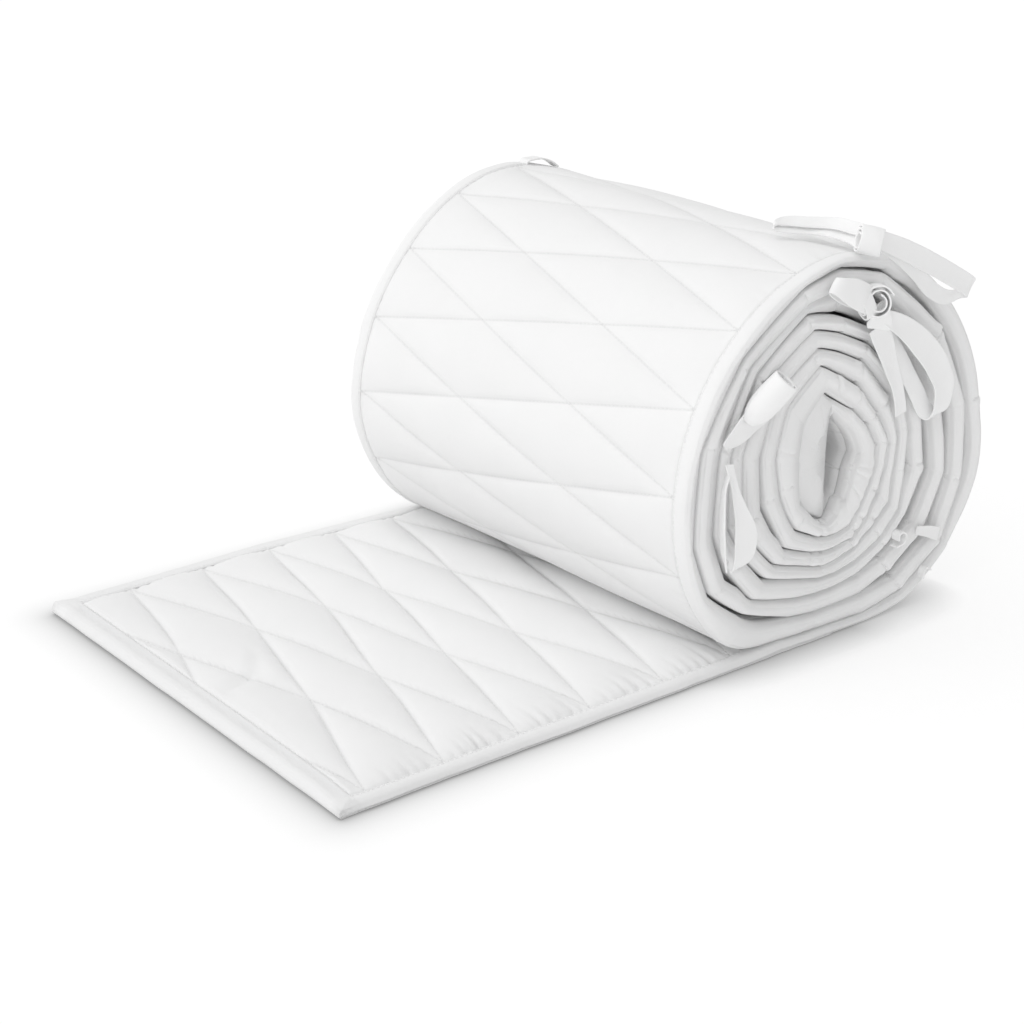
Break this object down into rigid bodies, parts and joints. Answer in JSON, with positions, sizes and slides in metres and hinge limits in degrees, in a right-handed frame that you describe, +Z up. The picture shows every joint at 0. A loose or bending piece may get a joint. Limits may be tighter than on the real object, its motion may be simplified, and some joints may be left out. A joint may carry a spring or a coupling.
{
  "type": "crib bumper",
  "caption": "Padded quilted strip with taped edges and cotton ties, its end lying flat and the rest wound into a loose roll.",
  "frame": {"origin": "middle of the whole thing's footprint, at the height of the surface it lies on", "axes": "+X from the flat free end towards the roll, +Y across the strip from the edge with the ties to its other long edge, +Z up"},
  "size_m": [0.4665, 0.3204, 0.2389],
  "materials": {
    "quilted_cotton": "matt white cotton, quilted in long diamonds",
    "edge_tape": "matt white cotton tape",
    "tie_tape": "matt white cotton tape"
  },
  "bodies": {
    "root": {"quilted_panel": "quilted_cotton", "binding": "edge_tape", "tie_top": "tie_tape", "tie_face": "tie_tape", "tie_left": "tie_tape", "tie_low": "tie_tape", "tie_curl": "tie_tape", "tie_tuck": "tie_tape", "tie_wedge": "tie_tape", "tie_far": "tie_tape"}
  },
  "joints": []
}
